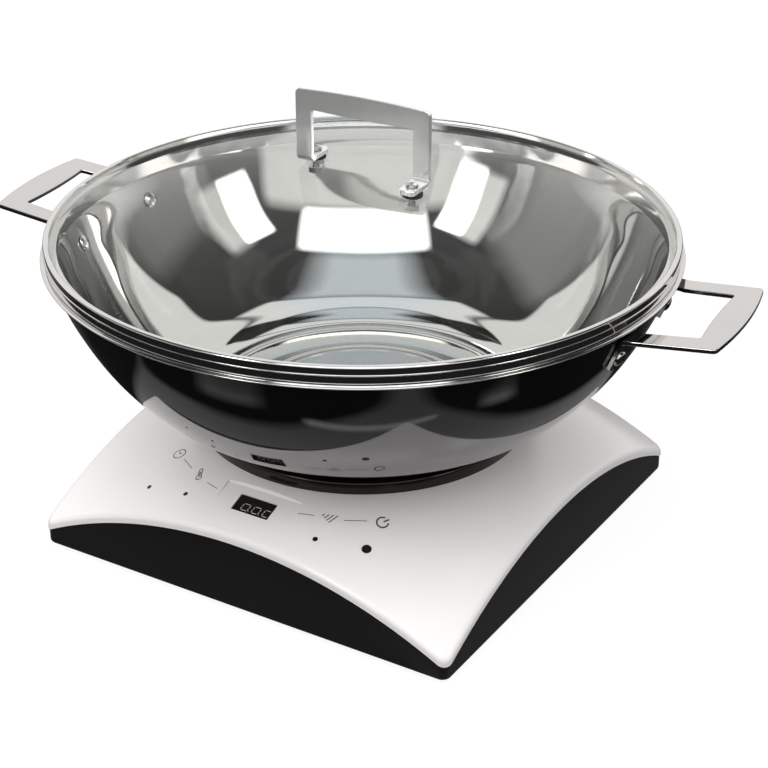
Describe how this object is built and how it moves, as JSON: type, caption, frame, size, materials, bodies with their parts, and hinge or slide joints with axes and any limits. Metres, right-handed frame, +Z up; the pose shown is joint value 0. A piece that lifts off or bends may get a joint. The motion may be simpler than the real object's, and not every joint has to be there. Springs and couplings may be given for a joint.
{
  "type": "induction hob with lidded wok",
  "caption": "Square portable induction hob with a domed white cover, carrying a black steel wok with flat side handles and a loose domed glass lid.",
  "frame": {"origin": "middle of the square hob on the surface its feet stand on", "axes": "+Z up along the cooking plate's axis, -Y towards the control panel, +X to the right seen from the panel"},
  "size_m": [0.4494, 0.361, 0.2578],
  "materials": {
    "cover_white": "gloss white moulded cover",
    "housing_black": "satin black moulding",
    "ceramic_black": "polished black glass-ceramic",
    "window_black": "gloss black acrylic",
    "enamel_black": "gloss black enamel outside, polished steel inside",
    "satin_steel": "satin steel plate",
    "bright_steel": "bright polished steel",
    "clear_glass": "clear tempered glass",
    "aluminium": "plain extruded aluminium",
    "copper": "wound enamelled copper",
    "board_green": "green circuit board",
    "ferrite": "dark grey sintered ferrite",
    "rubber": "soft black rubber",
    "mica": "pressed mica sheet"
  },
  "bodies": {
    "hob": {"lower_housing": "housing_black", "top_cover": "cover_white", "plate_ring": "housing_black", "glass_plate": "ceramic_black", "insulation_sheet": "mica", "induction_coil": "copper", "coil_former": "housing_black", "ferrite_1": "ferrite", "ferrite_2": "ferrite", "ferrite_3": "ferrite", "ferrite_4": "ferrite", "ferrite_5": "ferrite", "ferrite_6": "ferrite", "temperature_sensor": "aluminium", "control_board": "board_green", "display_module": "housing_black", "display_window": "window_black", "touch_spot_clock": "window_black", "touch_spot_temperature": "window_black", "touch_spot_level": "window_black", "touch_spot_power": "window_black", "power_board": "board_green", "heat_sink": "aluminium", "fan_frame": "housing_black", "cord_gland": "rubber", "foot_1": "rubber", "foot_2": "rubber", "foot_3": "rubber", "foot_4": "rubber", "housing_screw_1": "bright_steel", "housing_screw_2": "bright_steel", "housing_screw_3": "bright_steel", "housing_screw_4": "bright_steel"},
    "fan_rotor": {"fan_rotor": "housing_black"},
    "wok": {"wok_bowl": "enamel_black", "wok_handle_right": "satin_steel", "wok_handle_left": "satin_steel", "wok_rivet_1": "satin_steel", "wok_rivet_2": "satin_steel", "wok_rivet_3": "satin_steel", "wok_rivet_4": "satin_steel"},
    "lid": {"lid_glass": "clear_glass", "lid_ring": "bright_steel", "lid_handle": "satin_steel", "lid_spacer_right": "rubber", "lid_spacer_left": "rubber", "lid_screw_right": "bright_steel", "lid_screw_left": "bright_steel", "lid_nut_right": "bright_steel", "lid_nut_left": "bright_steel"}
  },
  "joints": [
    {"name": "wok_lift", "type": "slide", "parent": "hob", "child": "wok", "axis": [0, 0, 1], "range_m": [0, 0.15]},
    {"name": "lid_lift", "type": "slide", "parent": "wok", "child": "lid", "axis": [0, 0, 1], "range_m": [0, 0.12]},
    {"name": "fan_spin", "type": "hinge", "parent": "hob", "child": "fan_rotor", "pos_m": [0.055, -0.03, 0.0148], "axis": [0, 0, 1], "continuous": true}
  ]
}
